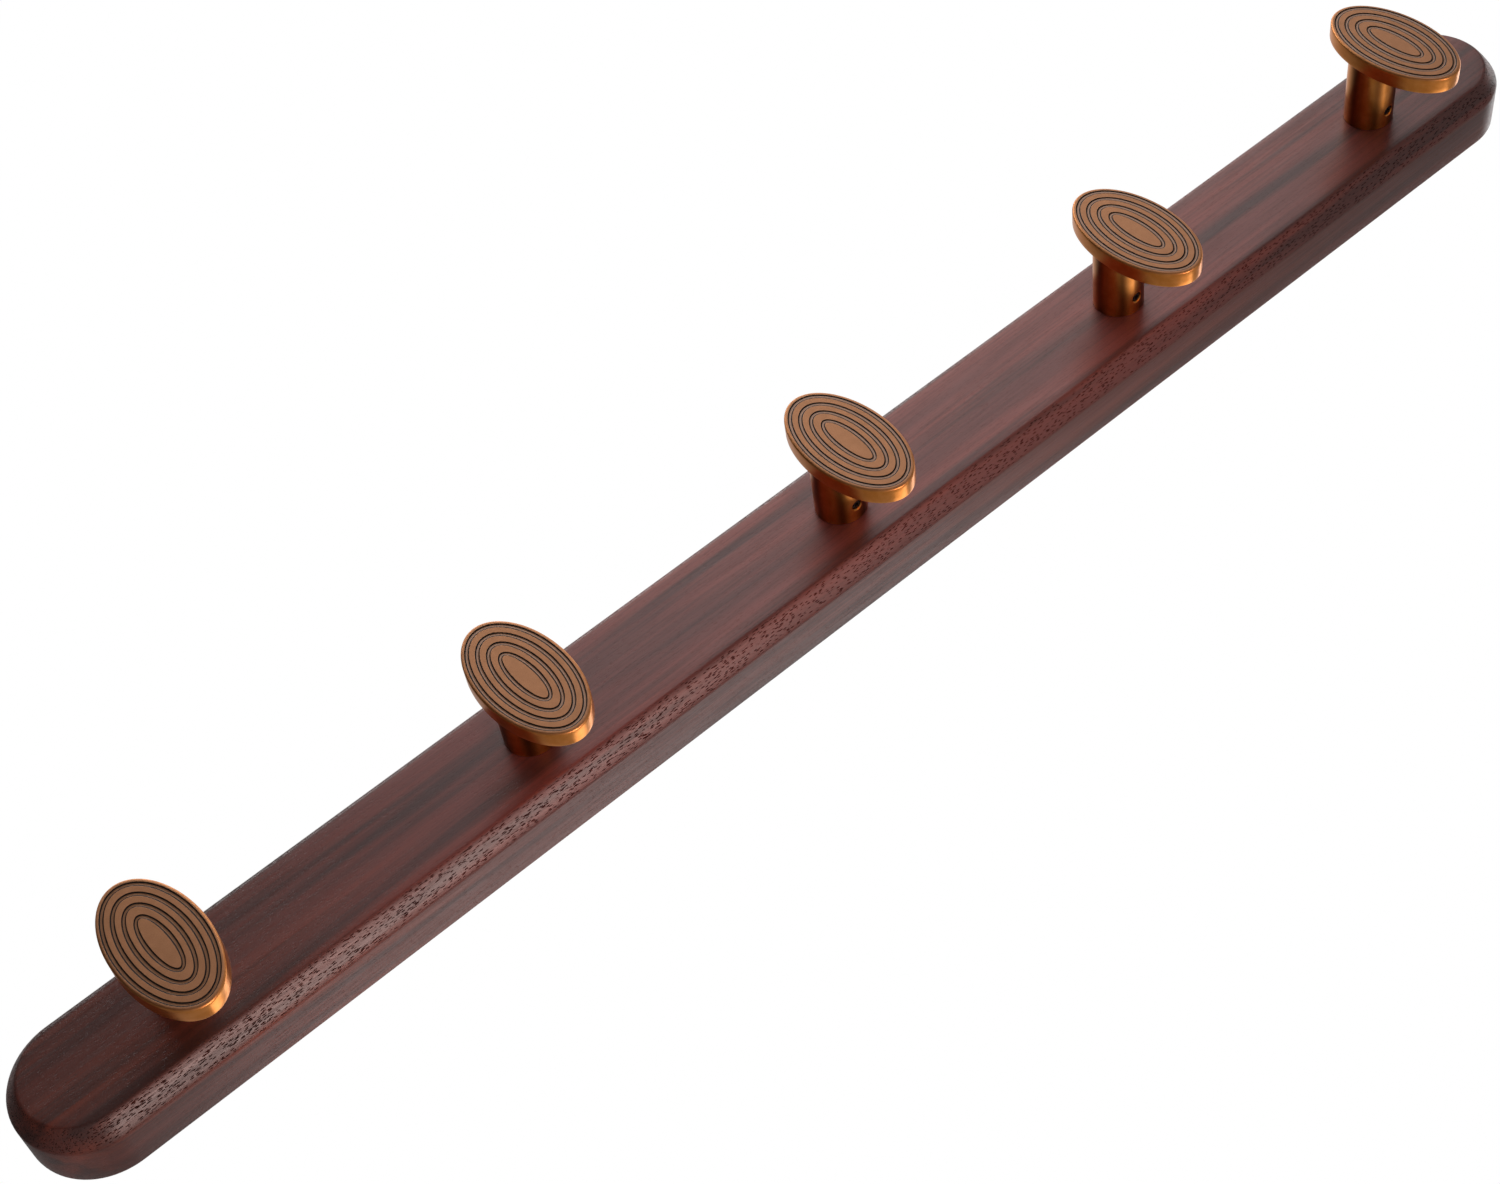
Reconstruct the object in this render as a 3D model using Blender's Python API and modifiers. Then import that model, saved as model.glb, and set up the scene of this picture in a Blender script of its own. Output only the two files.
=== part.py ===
"""Wall coat rack: a hardwood rail with oval, ring-grooved bronze knobs on round posts.

Each post is a sleeve over a stud that is screwed to the rail, and a grub screw under the
post locks it there. Two keyhole hangers let into the back hold the rack on its wall screws.

Every piece is modelled under the empty "wall_frame", whose x runs along the rail, y up the
wall and z out of the wall, with its origin at the centre of the rail's back face. The empty
turns that frame so that, in the scene, +Z is up and the knobs point to -Y. Metres.
"""

import math

import bmesh
import bpy

# Driving dimensions
GAP = 0.0003  # left between pieces that touch

RAIL_LENGTH = 0.610
RAIL_HEIGHT = 0.0452
RAIL_THICKNESS = 0.022
RAIL_BEVEL = 0.0054
RAIL_BEVEL_PROFILE = 0.4
RAIL_END_STEPS = 20

HOOK_COUNT = 5
HOOK_SPACING = 0.124

HEAD_HEIGHT = 0.0502
HEAD_WIDTH = 0.0280
HEAD_THICKNESS = 0.0058
HEAD_REACH = 0.036  # from the rail's front to the head's front
HEAD_DROP = 0.0078  # the oval's centre hangs this far below the post's axis
HEAD_EDGE = 0.0005
HEAD_STEPS = 10  # points in each quarter of the oval

# Half the height of the oval along the middle of each groove, from the outer one in
GROOVE_HALF_HEIGHTS = (0.0230, 0.0194, 0.0155, 0.0110)
GROOVE_HALF_WIDTH = 0.0122  # of the outer groove's oval
GROOVE_WIDTH_STEP = 0.00293  # from one groove's oval to the next
GROOVE_BREADTH = 0.00118
GROOVE_DEPTH = 0.0006

POST_RADIUS = 0.0084
POST_EDGE = 0.0004
TENON_RADIUS = 0.0045
TENON_LENGTH = 0.0027

STUD_RADIUS = 0.0050
STUD_LENGTH = 0.0140
BORE_CLEARANCE = 0.0020  # beyond the stud's front end

GRUB_RADIUS = 0.0015
GRUB_LENGTH = 0.0027
GRUB_HEIGHT = 0.0065  # from the rail's front
GRUB_KEY_RADIUS = 0.0009
GRUB_KEY_DEPTH = 0.0013

STUD_SCREW_LENGTH = 0.030
STUD_SCREW_HEAD = 0.0036
STUD_SCREW_SHANK = 0.0018
STUD_SINK_ROOM = 0.00075  # between the screw's head and its countersink

HANGER_SPACING = 0.4064
HANGER_WIDTH = 0.016
HANGER_HEIGHT = 0.038
HANGER_THICKNESS = 0.0012
HANGER_CORNER = 0.003
HANGER_SET_BACK = 0.0002  # the plate lies just below the rail's back
HANGER_HOLE_OFFSET = 0.0145
KEYHOLE_RADIUS = 0.00475
KEYHOLE_CENTRE = -0.0055
KEYHOLE_SLOT_RADIUS = 0.0026
KEYHOLE_SLOT_TOP = 0.006
POCKET_RADIUS = 0.0055
POCKET_REACH = 0.0055  # the pocket's end circles sit this far above and below the middle
POCKET_DEPTH = 0.009

HANGER_SCREW_LENGTH = 0.012
HANGER_SCREW_HEAD = 0.0027
HANGER_SCREW_SHANK = 0.0013
HANGER_SINK_ROOM = 0.00045

CROSS_WIDTH = 0.0008
CROSS_SPAN = 1.1  # times the radius of the screw's head
CROSS_DEPTH = 0.0010

MERGE = 0.00005


def clear_scene():
    for item in list(bpy.data.objects):
        bpy.data.objects.remove(item, do_unlink=True)


def make_collection(name):
    collection = bpy.data.collections.new(name)
    bpy.context.scene.collection.children.link(collection)
    return collection


def make_material(name, color, roughness, metallic):
    material = bpy.data.materials.new(name)
    material.use_nodes = True
    shader = material.node_tree.nodes["Principled BSDF"]
    shader.inputs["Base Color"].default_value = (*color, 1.0)
    shader.inputs["Roughness"].default_value = roughness
    shader.inputs["Metallic"].default_value = metallic
    material.diffuse_color = (*color, 1.0)
    return material


clear_scene()
PARTS = make_collection("coat_rack")
CUTTERS = make_collection("cutters")

WALNUT = make_material("walnut", (0.115, 0.042, 0.030), 0.38, 0.0)
BRONZE = make_material("antique_bronze", (0.42, 0.25, 0.15), 0.35, 1.0)
DARK_STEEL = make_material("black_steel", (0.05, 0.05, 0.055), 0.4, 1.0)
BRASS = make_material("stud_brass", (0.62, 0.48, 0.24), 0.35, 1.0)
ZINC = make_material("zinc_steel", (0.60, 0.60, 0.62), 0.35, 1.0)


def make_empty(name, parent, location):
    empty = bpy.data.objects.new(name, None)
    PARTS.objects.link(empty)
    empty.parent = parent
    empty.location = location
    return empty


WALL_FRAME = make_empty("wall_frame", None, (0, 0, 0))
WALL_FRAME.rotation_euler = (math.pi / 2, 0, 0)


def place(name, mesh, parent, location=(0, 0, 0), rotation=(0, 0, 0), material=None):
    """A named part of the rack."""
    part = bpy.data.objects.new(name, mesh)
    PARTS.objects.link(part)
    part.parent = parent
    part.location = location
    part.rotation_euler = rotation
    mesh.materials.clear()
    mesh.materials.append(material)
    return part


def place_cutter(name, mesh, parent, location=(0, 0, 0), rotation=(0, 0, 0)):
    cutter = bpy.data.objects.new(name, mesh)
    CUTTERS.objects.link(cutter)
    cutter.parent = parent
    cutter.location = location
    cutter.rotation_euler = rotation
    cutter.hide_render = True
    cutter.display_type = "WIRE"
    return cutter


def cut(part, cutter):
    modifier = part.modifiers.new("cut_" + cutter.name, "BOOLEAN")
    modifier.operation = "DIFFERENCE"
    modifier.solver = "EXACT"
    modifier.object = cutter


def smooth(mesh, degrees=30):
    mesh.shade_smooth()
    mesh.set_sharp_from_angle(angle=math.radians(degrees))


def cone_mesh(name, radius_low, radius_high, low, high, steps):
    """A cylinder or cone about z, from the height low to the height high."""
    mesh = bpy.data.meshes.new(name)
    shape = bmesh.new()
    bmesh.ops.create_cone(
        shape,
        cap_ends=True,
        segments=steps,
        radius1=radius_low,
        radius2=radius_high,
        depth=high - low,
    )
    bmesh.ops.translate(shape, verts=shape.verts, vec=(0, 0, (low + high) / 2))
    shape.to_mesh(mesh)
    shape.free()
    return mesh


def box_mesh(name, size, centre):
    mesh = bpy.data.meshes.new(name)
    shape = bmesh.new()
    bmesh.ops.create_cube(shape, size=1.0)
    bmesh.ops.scale(shape, verts=shape.verts, vec=size)
    bmesh.ops.translate(shape, verts=shape.verts, vec=centre)
    shape.to_mesh(mesh)
    shape.free()
    return mesh


def prism_mesh(name, outline, low, high):
    """An upright prism on one closed outline, between two heights."""
    shape = bmesh.new()
    base = shape.faces.new([shape.verts.new((x, y, low)) for x, y in outline])
    raised = bmesh.ops.extrude_face_region(shape, geom=[base])
    moved = [item for item in raised["geom"] if isinstance(item, bmesh.types.BMVert)]
    bmesh.ops.translate(shape, verts=moved, vec=(0, 0, high - low))
    bmesh.ops.recalc_face_normals(shape, faces=shape.faces)
    mesh = bpy.data.meshes.new(name)
    shape.to_mesh(mesh)
    shape.free()
    return mesh


def pierced_plate_mesh(name, outlines, low, high):
    """A flat plate between two heights: the first outline is its edge, the others its holes."""
    curve = bpy.data.curves.new(name, "CURVE")
    curve.dimensions = "2D"
    curve.fill_mode = "BOTH"
    curve.extrude = (high - low) / 2
    for outline in outlines:
        spline = curve.splines.new("POLY")
        spline.points.add(len(outline) - 1)
        for point, (x, y) in zip(spline.points, outline):
            point.co = (x, y, 0, 1)
        spline.use_cyclic_u = True
    holder = bpy.data.objects.new(name + "_curve", curve)
    CUTTERS.objects.link(holder)
    graph = bpy.context.evaluated_depsgraph_get()
    mesh = bpy.data.meshes.new_from_object(holder.evaluated_get(graph))
    bpy.data.objects.remove(holder)
    mesh.name = name
    shape = bmesh.new()
    shape.from_mesh(mesh)
    bmesh.ops.remove_doubles(shape, verts=shape.verts, dist=MERGE)
    bmesh.ops.translate(shape, verts=shape.verts, vec=(0, 0, (low + high) / 2))
    bmesh.ops.recalc_face_normals(shape, faces=shape.faces)
    shape.to_mesh(mesh)
    shape.free()
    return mesh


def arc(centre, radius, start, end, steps):
    """Points along an arc, with its angles in degrees."""
    points = []
    for step in range(steps + 1):
        angle = math.radians(start + (end - start) * step / steps)
        points.append(
            (centre[0] + radius * math.cos(angle), centre[1] + radius * math.sin(angle))
        )
    return points


def turned_part(name, profile, parent, location, material, steps, closed=False, rotation=(0, 0, 0)):
    """A turned piece about its own z. The profile's (radius, height) points run down its outside."""
    mesh = bpy.data.meshes.new(name)
    edges = [(index, index + 1) for index in range(len(profile) - 1)]
    if closed:
        edges.append((len(profile) - 1, 0))
    mesh.from_pydata([(radius, 0, height) for radius, height in profile], edges, [])
    part = place(name, mesh, parent, location, rotation, material)
    screw = part.modifiers.new("turn", "SCREW")
    screw.axis = "Z"
    screw.steps = steps
    screw.render_steps = steps
    screw.use_merge_vertices = True
    screw.merge_threshold = MERGE
    screw.use_smooth_shade = True
    return part


# The rail


def make_rail():
    """A bar with half-round ends and a broad rounded bevel along its front edge."""
    straight = RAIL_LENGTH / 2 - RAIL_HEIGHT / 2
    right = arc((straight, 0), RAIL_HEIGHT / 2, -90, 90, RAIL_END_STEPS)
    left = arc((-straight, 0), RAIL_HEIGHT / 2, 90, 270, RAIL_END_STEPS)
    mesh = prism_mesh("rail", right + left, 0, RAIL_THICKNESS)
    weights = mesh.attributes.new("bevel_weight_edge", "FLOAT", "EDGE")
    for edge in mesh.edges:
        heights = [mesh.vertices[index].co.z for index in edge.vertices]
        weights.data[edge.index].value = 1.0 if min(heights) > RAIL_THICKNESS - MERGE else 0.0
    smooth(mesh)
    rail = place("rail", mesh, WALL_FRAME, material=WALNUT)
    bevel = rail.modifiers.new("front_edge", "BEVEL")
    bevel.limit_method = "WEIGHT"
    bevel.width = RAIL_BEVEL
    bevel.segments = 4
    bevel.profile = RAIL_BEVEL_PROFILE
    return rail


# The knobs


def oval(half_width, half_height, steps):
    points = []
    for step in range(4 * steps):
        angle = math.pi / 2 * step / steps
        points.append((half_width * math.cos(angle), half_height * math.sin(angle)))
    return points


def head_sections():
    """(half width, half height, height) of each oval of the head, from its back to its middle."""
    wide, tall = HEAD_WIDTH / 2, HEAD_HEIGHT / 2
    sections = [
        (wide, tall, 0.0),
        (wide, tall, HEAD_THICKNESS - HEAD_EDGE),
        (wide - HEAD_EDGE, tall - HEAD_EDGE, HEAD_THICKNESS),
    ]
    for number, middle_tall in enumerate(GROOVE_HALF_HEIGHTS):
        middle_wide = GROOVE_HALF_WIDTH - number * GROOVE_WIDTH_STEP
        for side, depth in ((1, 0.0), (0, GROOVE_DEPTH), (-1, 0.0)):
            beside = side * GROOVE_BREADTH / 2
            sections.append((middle_wide + beside, middle_tall + beside, HEAD_THICKNESS - depth))
    return sections


def make_head_mesh():
    """An oval plate with ring grooves in its front: a loft through unlike ovals."""
    shape = bmesh.new()
    rings = []
    for half_width, half_height, height in head_sections():
        outline = oval(half_width, half_height, HEAD_STEPS)
        rings.append([shape.verts.new((x, y, height)) for x, y in outline])
    for lower, upper in zip(rings, rings[1:]):
        count = len(lower)
        for index in range(count):
            following = (index + 1) % count
            shape.faces.new((lower[index], lower[following], upper[following], upper[index]))
    shape.faces.new(list(reversed(rings[0])))
    shape.faces.new(rings[-1])
    bmesh.ops.recalc_face_normals(shape, faces=shape.faces)
    mesh = bpy.data.meshes.new("oval_head")
    shape.to_mesh(mesh)
    shape.free()
    smooth(mesh)
    return mesh


def make_head(number, knob):
    back = HEAD_REACH - HEAD_THICKNESS
    head = place(
        f"oval_head_{number}", make_head_mesh(), knob, (0, -HEAD_DROP, back), material=BRONZE
    )
    socket = cone_mesh(
        f"socket_{number}",
        TENON_RADIUS + GAP,
        TENON_RADIUS + GAP,
        back - 0.001,
        back + TENON_LENGTH,
        20,
    )
    cut(head, place_cutter(f"head_socket_{number}", socket, knob))
    return head


def make_post(number, knob):
    """A sleeve that is bored from the back for its stud, with a tenon in front for the head."""
    shoulder = HEAD_REACH - HEAD_THICKNESS - GAP
    bore = STUD_RADIUS + GAP
    bore_end = STUD_LENGTH + BORE_CLEARANCE
    profile = [
        (0, shoulder + TENON_LENGTH),
        (TENON_RADIUS, shoulder + TENON_LENGTH),
        (TENON_RADIUS, shoulder),
        (POST_RADIUS, shoulder),
        (POST_RADIUS, GAP + POST_EDGE),
        (POST_RADIUS - POST_EDGE, GAP),
        (bore, GAP),
        (bore, bore_end),
        (0, bore_end),
    ]
    post = turned_part(f"post_{number}", profile, knob, (0, 0, 0), BRONZE, 28)
    hole = cone_mesh(f"hole_{number}", GRUB_RADIUS + GAP, GRUB_RADIUS + GAP, 0.001, 0.012, 16)
    cut(
        post,
        place_cutter(
            f"grub_hole_{number}", hole, knob, (0, 0, GRUB_HEIGHT), (math.pi / 2, 0, 0)
        ),
    )
    return post


def make_grub_screw(number, knob):
    """A headless screw with a hexagon socket, in the post's underside, against the stud."""
    inner = STUD_RADIUS + GAP
    outer = inner + GRUB_LENGTH
    edge = 0.0002
    profile = [
        (0, outer),
        (GRUB_RADIUS - edge, outer),
        (GRUB_RADIUS, outer - edge),
        (GRUB_RADIUS, inner + edge),
        (GRUB_RADIUS - edge, inner),
        (0, inner),
    ]
    turn = (math.pi / 2, 0, 0)
    place_at = (0, 0, GRUB_HEIGHT)
    grub = turned_part(f"grub_screw_{number}", profile, knob, place_at, DARK_STEEL, 16, rotation=turn)
    key = cone_mesh(
        f"key_{number}", GRUB_KEY_RADIUS, GRUB_KEY_RADIUS, outer - GRUB_KEY_DEPTH, outer + 0.001, 6
    )
    cut(grub, place_cutter(f"grub_key_{number}", key, knob, place_at, turn))
    return grub


def make_countersunk_screw(name, parent, location, head, shank, length, material, facing=1):
    """A countersunk wood screw with a cross recess. Its head lies at its origin's height."""
    cone = head - shank
    profile = [
        (0, 0),
        (head, 0),
        (shank, -cone),
        (shank, -length + 2 * shank),
        (0, -length),
    ]
    rotation = (0, 0, 0) if facing > 0 else (math.pi, 0, 0)
    screw = turned_part(name, profile, parent, location, material, 14, rotation=rotation)
    span = CROSS_SPAN * head
    for index, reach in enumerate(((span, CROSS_WIDTH), (CROSS_WIDTH, span))):
        blade = box_mesh(f"{name}_blade_{index}", (*reach, 2 * CROSS_DEPTH), (0, 0, 0))
        cut(screw, place_cutter(f"{name}_cross_{index}", blade, parent, location, rotation))
    return screw


def make_stud(number, knob_place):
    """The boss that the post slides over, with a countersunk hole for its wood screw."""
    hole = STUD_SCREW_SHANK + GAP
    sink = STUD_SCREW_HEAD + STUD_SINK_ROOM
    profile = [
        (sink, STUD_LENGTH),
        (STUD_RADIUS, STUD_LENGTH),
        (STUD_RADIUS, GAP),
        (hole, GAP),
        (hole, STUD_LENGTH - (sink - hole)),
    ]
    return turned_part(
        f"stud_{number}", profile, WALL_FRAME, knob_place, BRASS, 22, closed=True
    )


def make_hook(number, rail):
    x = (number - (HOOK_COUNT + 1) / 2) * HOOK_SPACING
    base = (x, 0, RAIL_THICKNESS)
    knob = make_empty(f"knob_{number}", WALL_FRAME, base)
    make_head(number, knob)
    make_post(number, knob)
    make_grub_screw(number, knob)
    make_stud(number, base)
    top = (x, 0, RAIL_THICKNESS + STUD_LENGTH - GAP)
    make_countersunk_screw(
        f"stud_screw_{number}",
        WALL_FRAME,
        top,
        STUD_SCREW_HEAD,
        STUD_SCREW_SHANK,
        STUD_SCREW_LENGTH,
        ZINC,
    )
    depth = STUD_SCREW_LENGTH - STUD_LENGTH + 2 * GAP
    pilot = cone_mesh(
        f"pilot_{number}", STUD_SCREW_SHANK + GAP, STUD_SCREW_SHANK + GAP, -depth, 0.001, 12
    )
    cut(rail, place_cutter(f"stud_pilot_{number}", pilot, WALL_FRAME, base))


# The hangers


def rounded_rectangle(width, height, corner):
    points = []
    for x, y, start in ((1, 1, 0), (-1, 1, 90), (-1, -1, 180), (1, -1, 270)):
        centre = (x * (width / 2 - corner), y * (height / 2 - corner))
        points += arc(centre, corner, start, start + 90, 4)
    return points


def keyhole_outline():
    """A round hole that the wall screw's head passes, with a slot above it for its shank."""
    meet = math.degrees(math.acos(KEYHOLE_SLOT_RADIUS / KEYHOLE_RADIUS))
    slot = arc((0, KEYHOLE_SLOT_TOP), KEYHOLE_SLOT_RADIUS, 0, 180, 6)
    entry = arc((0, KEYHOLE_CENTRE), KEYHOLE_RADIUS, 180 - meet, 360 + meet, 16)
    return slot + entry


def make_hanger(name, x, rail):
    plate_low = HANGER_SET_BACK
    plate_high = plate_low + HANGER_THICKNESS
    outlines = [
        rounded_rectangle(HANGER_WIDTH, HANGER_HEIGHT, HANGER_CORNER),
        keyhole_outline(),
    ]
    mesh = pierced_plate_mesh(f"hanger_{name}", outlines, plate_low, plate_high)
    smooth(mesh)
    plate = place(f"hanger_{name}", mesh, WALL_FRAME, (x, 0, 0), material=ZINC)

    edge = rounded_rectangle(HANGER_WIDTH + 2 * GAP, HANGER_HEIGHT + 2 * GAP, HANGER_CORNER + GAP)
    recess = prism_mesh(f"recess_{name}", edge, -0.001, plate_high + GAP)
    cut(rail, place_cutter(f"hanger_recess_{name}", recess, WALL_FRAME, (x, 0, 0)))
    ends = arc((0, POCKET_REACH), POCKET_RADIUS, 0, 180, 8)
    ends += arc((0, -POCKET_REACH), POCKET_RADIUS, 180, 360, 8)
    pocket = prism_mesh(f"pocket_{name}", ends, 0.0005, POCKET_DEPTH)
    cut(rail, place_cutter(f"hanger_pocket_{name}", pocket, WALL_FRAME, (x, 0, 0)))

    for side, y in (("top", HANGER_HOLE_OFFSET), ("bottom", -HANGER_HOLE_OFFSET)):
        make_hanger_screw(f"{name}_{side}", (x, y, plate_low + GAP), plate, rail)


def make_hanger_screw(name, location, plate, rail):
    make_countersunk_screw(
        f"hanger_screw_{name}",
        WALL_FRAME,
        location,
        HANGER_SCREW_HEAD,
        HANGER_SCREW_SHANK,
        HANGER_SCREW_LENGTH,
        ZINC,
        facing=-1,
    )
    clear = HANGER_SCREW_SHANK + GAP
    outside = -2 * GAP
    wide = HANGER_SCREW_HEAD + HANGER_SINK_ROOM - outside
    sink = cone_mesh(f"sink_{name}", wide, clear, outside, outside + wide - clear, 16)
    cut(plate, place_cutter(f"hanger_sink_{name}", sink, WALL_FRAME, location))
    pilot = cone_mesh(f"screw_pilot_{name}", clear, clear, 0.0, HANGER_SCREW_LENGTH + GAP, 10)
    cut(rail, place_cutter(f"hanger_pilot_{name}", pilot, WALL_FRAME, location))
    cut(plate, place_cutter(f"hanger_through_{name}", pilot.copy(), WALL_FRAME, location))


def make_rack():
    rail = make_rail()
    for number in range(1, HOOK_COUNT + 1):
        make_hook(number, rail)
    make_hanger("left", -HANGER_SPACING / 2, rail)
    make_hanger("right", HANGER_SPACING / 2, rail)


make_rack()
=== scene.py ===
"""Looks for the wall coat rack: fine meshes, walnut and antique bronze, studio and camera.

Each CAD piece is replaced by a finer mesh of the same piece, in the same place. The frame's
axes are used throughout: X along the rail, Z up the wall and -Y out of the wall. Metres.
"""

import math

import bmesh
import bpy
from mathutils import Matrix, Vector


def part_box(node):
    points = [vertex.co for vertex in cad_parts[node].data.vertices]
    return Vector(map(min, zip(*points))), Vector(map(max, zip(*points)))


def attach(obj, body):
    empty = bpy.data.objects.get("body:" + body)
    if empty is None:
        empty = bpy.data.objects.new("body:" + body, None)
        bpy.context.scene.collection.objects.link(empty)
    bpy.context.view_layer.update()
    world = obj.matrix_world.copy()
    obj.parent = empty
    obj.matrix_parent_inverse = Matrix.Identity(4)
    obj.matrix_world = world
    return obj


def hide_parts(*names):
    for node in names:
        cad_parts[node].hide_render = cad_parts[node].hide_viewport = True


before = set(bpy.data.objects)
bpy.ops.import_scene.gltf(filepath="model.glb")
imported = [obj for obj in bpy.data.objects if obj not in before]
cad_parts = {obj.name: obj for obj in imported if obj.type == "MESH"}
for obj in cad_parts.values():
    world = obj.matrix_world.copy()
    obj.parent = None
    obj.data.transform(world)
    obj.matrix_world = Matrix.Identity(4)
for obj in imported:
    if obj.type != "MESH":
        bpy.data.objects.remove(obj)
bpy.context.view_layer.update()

MM = 0.001
TURN = 2 * math.pi

# ---------------------------------------------------------------- sizes read from the frame
RAIL_LOW, RAIL_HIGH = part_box("rail")
RAIL_FRONT = RAIL_LOW.y
RAIL_BACK = RAIL_HIGH.y
RAIL_HALF_LENGTH = (RAIL_HIGH.x - RAIL_LOW.x) / 2
RAIL_RADIUS = (RAIL_HIGH.z - RAIL_LOW.z) / 2

HEAD_LOW, HEAD_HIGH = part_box("oval_head_1")
HEAD_FRONT = HEAD_LOW.y
HEAD_BACK = HEAD_HIGH.y
HEAD_LONG = (HEAD_HIGH.z - HEAD_LOW.z) / 2
HEAD_SHORT = (HEAD_HIGH.x - HEAD_LOW.x) / 2
HEAD_CENTRE_Z = (HEAD_HIGH.z + HEAD_LOW.z) / 2

POST_LOW, POST_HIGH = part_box("post_1")
POST_RADIUS = (POST_HIGH.x - POST_LOW.x) / 2

STUD_LOW, STUD_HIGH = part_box("stud_1")
STUD_SCREW_LOW, STUD_SCREW_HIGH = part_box("stud_screw_1")
STUD_SCREW_RADIUS = (STUD_SCREW_HIGH.x - STUD_SCREW_LOW.x) / 2
GRUB_LOW, GRUB_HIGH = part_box("grub_screw_1")
GRUB_RADIUS = (GRUB_HIGH.x - GRUB_LOW.x) / 2
GRUB_Y = (GRUB_LOW.y + GRUB_HIGH.y) / 2

HOOK_NUMBERS = range(1, 6)


def middle(node):
    """The middle of a CAD node's box."""
    low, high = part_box(node)
    return (low + high) / 2


HOOK_X = {i: middle(f"post_{i}").x for i in HOOK_NUMBERS}


# ---------------------------------------------------------------- materials
class Material:
    """A Principled material, with short calls for the nodes that feed it."""

    def __init__(self, name):
        self.data = bpy.data.materials.new(name)
        self.data.use_nodes = True
        self.tree = self.data.node_tree
        self.shader = self.tree.nodes["Principled BSDF"]
        self.place = self.node("ShaderNodeTexCoord").outputs["Object"]

    def node(self, kind, **settings):
        made = self.tree.nodes.new(kind)
        for key, value in settings.items():
            setattr(made, key, value)
        return made

    def put(self, socket, value):
        """Links a socket to another one, or sets it to a plain value."""
        if isinstance(value, bpy.types.NodeSocket):
            self.tree.links.new(value, socket)
        else:
            socket.default_value = value

    def set(self, name, value):
        self.put(self.shader.inputs[name], value)

    def maths(self, operation, a, b=0.0, clamp=False):
        made = self.node("ShaderNodeMath", operation=operation, use_clamp=clamp)
        self.put(made.inputs[0], a)
        self.put(made.inputs[1], b)
        return made.outputs[0]

    def stretched(self, scale, vector=None):
        """The place, or another vector, times a scale for each axis."""
        made = self.node("ShaderNodeVectorMath", operation="MULTIPLY")
        self.put(made.inputs[0], self.place if vector is None else vector)
        made.inputs[1].default_value = scale
        return made.outputs[0]

    def shifted(self, amount, vector=None):
        made = self.node("ShaderNodeVectorMath", operation="ADD")
        self.put(made.inputs[0], self.place if vector is None else vector)
        self.put(made.inputs[1], amount)
        return made.outputs[0]

    def noise(self, vector, detail=3.0, roughness=0.5, colour=False, distortion=0.0):
        made = self.node("ShaderNodeTexNoise")
        self.put(made.inputs["Vector"], vector)
        made.inputs["Scale"].default_value = 1.0
        made.inputs["Detail"].default_value = detail
        made.inputs["Roughness"].default_value = roughness
        made.inputs["Distortion"].default_value = distortion
        return made.outputs["Color" if colour else "Fac"]

    def cells(self, vector):
        """Distance to the nearest cell's middle, and a random value for that cell."""
        made = self.node("ShaderNodeTexVoronoi")
        self.put(made.inputs["Vector"], vector)
        made.inputs["Scale"].default_value = 1.0
        apart = self.node("ShaderNodeSeparateColor")
        self.tree.links.new(made.outputs["Color"], apart.inputs[0])
        return made.outputs["Distance"], apart.outputs[0]

    def stretch_range(self, value, low, high, new_low=0.0, new_high=1.0, smooth=True):
        made = self.node("ShaderNodeMapRange")
        made.interpolation_type = "SMOOTHSTEP" if smooth else "LINEAR"
        self.put(made.inputs["Value"], value)
        self.put(made.inputs["From Min"], low)
        self.put(made.inputs["From Max"], high)
        self.put(made.inputs["To Min"], new_low)
        self.put(made.inputs["To Max"], new_high)
        return made.outputs["Result"]

    def mix(self, factor, a, b, blend="MIX"):
        made = self.node("ShaderNodeMix", data_type="RGBA", blend_type=blend)
        self.put(made.inputs["Factor"], factor)
        for socket, value in ((made.inputs[6], a), (made.inputs[7], b)):
            self.put(socket, value if isinstance(value, bpy.types.NodeSocket) else (*value, 1.0))
        return made.outputs[2]

    def attribute(self, name):
        made = self.node("ShaderNodeAttribute", attribute_name=name)
        return made.outputs["Fac"]

    def axes(self, vector=None):
        made = self.node("ShaderNodeSeparateXYZ")
        self.put(made.inputs[0], self.place if vector is None else vector)
        return made.outputs["X"], made.outputs["Y"], made.outputs["Z"]

    def bump(self, height, distance, strength=1.0, after=None):
        made = self.node("ShaderNodeBump")
        self.put(made.inputs["Height"], height)
        made.inputs["Distance"].default_value = distance
        self.put(made.inputs["Strength"], strength)
        if after is not None:
            self.put(made.inputs["Normal"], after)
        return made.outputs["Normal"]


# The front is redder near the middle: X where that starts, is full, fades and is palest, and the
# depths behind the front that it fades out between
RUDDY_START, RUDDY_FULL = -0.27, -0.12
RUDDY_FADE, RUDDY_END = 0.12, 0.26
RUDDY_DEPTH = (5.0 * MM, 7.0 * MM)


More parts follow.
